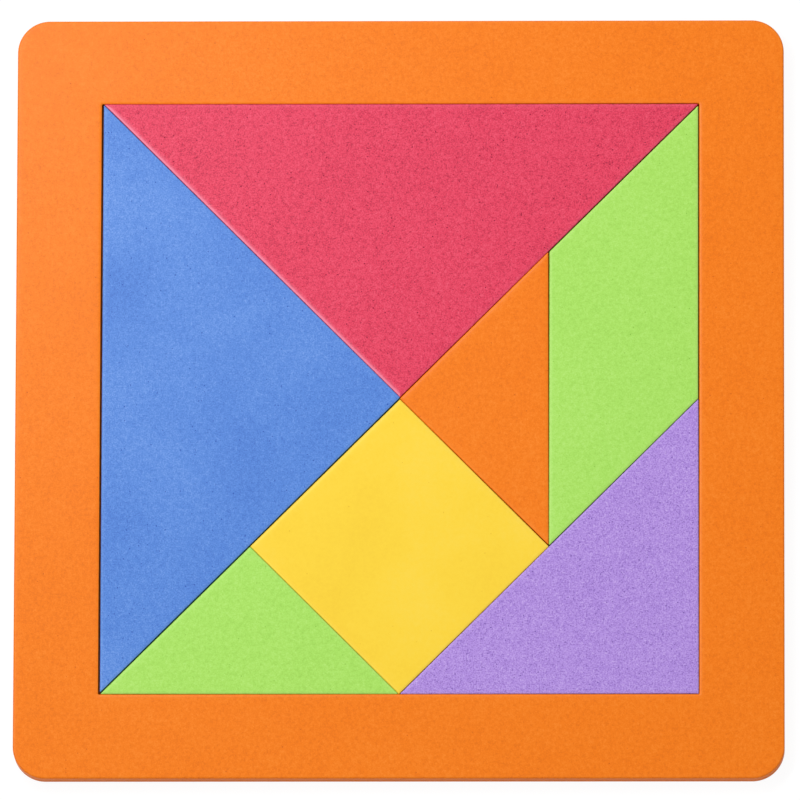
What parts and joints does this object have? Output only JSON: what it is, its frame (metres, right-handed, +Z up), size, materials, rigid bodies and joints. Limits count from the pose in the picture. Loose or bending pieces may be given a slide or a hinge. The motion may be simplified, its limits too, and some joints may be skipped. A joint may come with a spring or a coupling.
{
  "type": "tangram puzzle",
  "caption": "Flat foam tray with rounded corners, whose square window holds loose coloured tans: triangles, a square and a parallelogram, to lay out as figures.",
  "frame": {"origin": "middle of the underside, the face that the puzzle lies on", "axes": "+Z up out of the window, +Y away from the player towards the edge beside the red tan, +X to the player's right"},
  "size_m": [0.2, 0.2, 0.006],
  "materials": {
    "orange_foam": "matte closed-cell foam",
    "red_foam": "matte closed-cell foam with fine open pores",
    "blue_foam": "matte closed-cell foam with fine open pores",
    "purple_foam": "matte closed-cell foam with fine open pores",
    "green_foam": "matte closed-cell foam",
    "yellow_foam": "matte closed-cell foam"
  },
  "bodies": {
    "root": {"base_sheet": "orange_foam", "frame": "orange_foam", "large_triangle_red": "red_foam", "large_triangle_blue": "blue_foam", "medium_triangle_purple": "purple_foam", "small_triangle_orange": "orange_foam", "small_triangle_green": "green_foam", "square_yellow": "yellow_foam", "parallelogram_green": "green_foam"}
  },
  "joints": []
}
